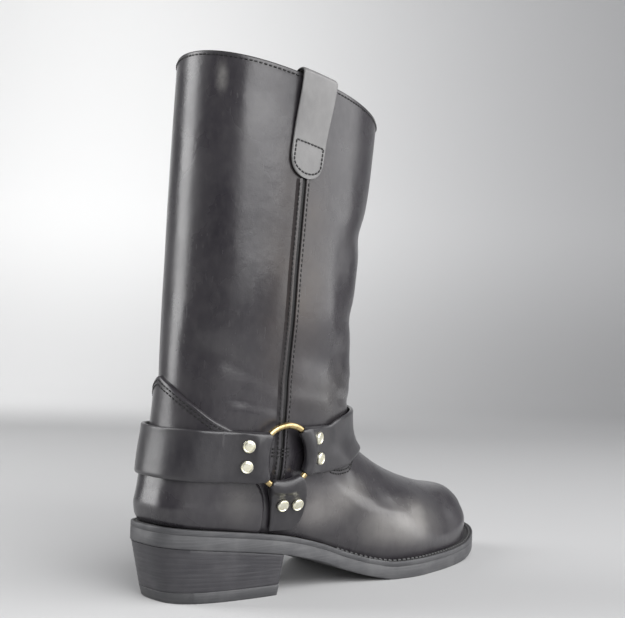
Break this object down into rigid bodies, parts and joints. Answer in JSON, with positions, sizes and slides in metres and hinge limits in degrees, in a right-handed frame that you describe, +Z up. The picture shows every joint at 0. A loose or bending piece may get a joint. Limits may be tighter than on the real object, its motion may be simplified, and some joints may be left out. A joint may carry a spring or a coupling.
{
  "type": "motorcycle boot",
  "caption": "Tall pull-on harness boot with a hollow leather shaft, pull straps, straps held by turning rings, a welted sole and a stacked heel.",
  "frame": {"origin": "on the floor, under the middle of the boot's box", "axes": "+X towards the toe, +Z up along the shaft, -Y towards the outer side of the right foot"},
  "size_m": [0.305, 0.1176, 0.339],
  "materials": {
    "upper_leather": "satin",
    "strap_leather": "satin",
    "welt_leather": "satin",
    "insole_leather": "matte",
    "sole_rubber": "matte",
    "heel_stack": "satin",
    "brass": "polished"
  },
  "bodies": {
    "boot": {"upper": "upper_leather", "heel_counter": "upper_leather", "side_seam_right": "upper_leather", "side_seam_left": "upper_leather", "pull_strap_right": "strap_leather", "pull_strap_left": "strap_leather", "strap_heel": "strap_leather", "strap_front": "strap_leather", "stirrup_right": "strap_leather", "stirrup_left": "strap_leather", "welt": "welt_leather", "outsole": "sole_rubber", "heel": "heel_stack", "top_lift": "sole_rubber", "insole": "insole_leather", "rivet_heel_right_1": "brass", "rivet_heel_right_2": "brass", "rivet_front_right_1": "brass", "rivet_front_right_2": "brass", "rivet_stirrup_right_1": "brass", "rivet_stirrup_right_2": "brass", "rivet_heel_left_1": "brass", "rivet_heel_left_2": "brass", "rivet_front_left_1": "brass", "rivet_front_left_2": "brass", "rivet_stirrup_left_1": "brass", "rivet_stirrup_left_2": "brass"},
    "ring_right": {"ring_right": "brass"},
    "ring_left": {"ring_left": "brass"}
  },
  "joints": [
    {"name": "ring_right_turn", "type": "hinge", "parent": "boot", "child": "ring_right", "pos_m": [-0.08124, -0.05063, 0.08953], "axis": [-0.1322, -0.9877, -0.0833], "continuous": true},
    {"name": "ring_left_turn", "type": "hinge", "parent": "boot", "child": "ring_left", "pos_m": [-0.08105, 0.05006, 0.08935], "axis": [0.0978, -0.9884, 0.1162], "continuous": true}
  ]
}
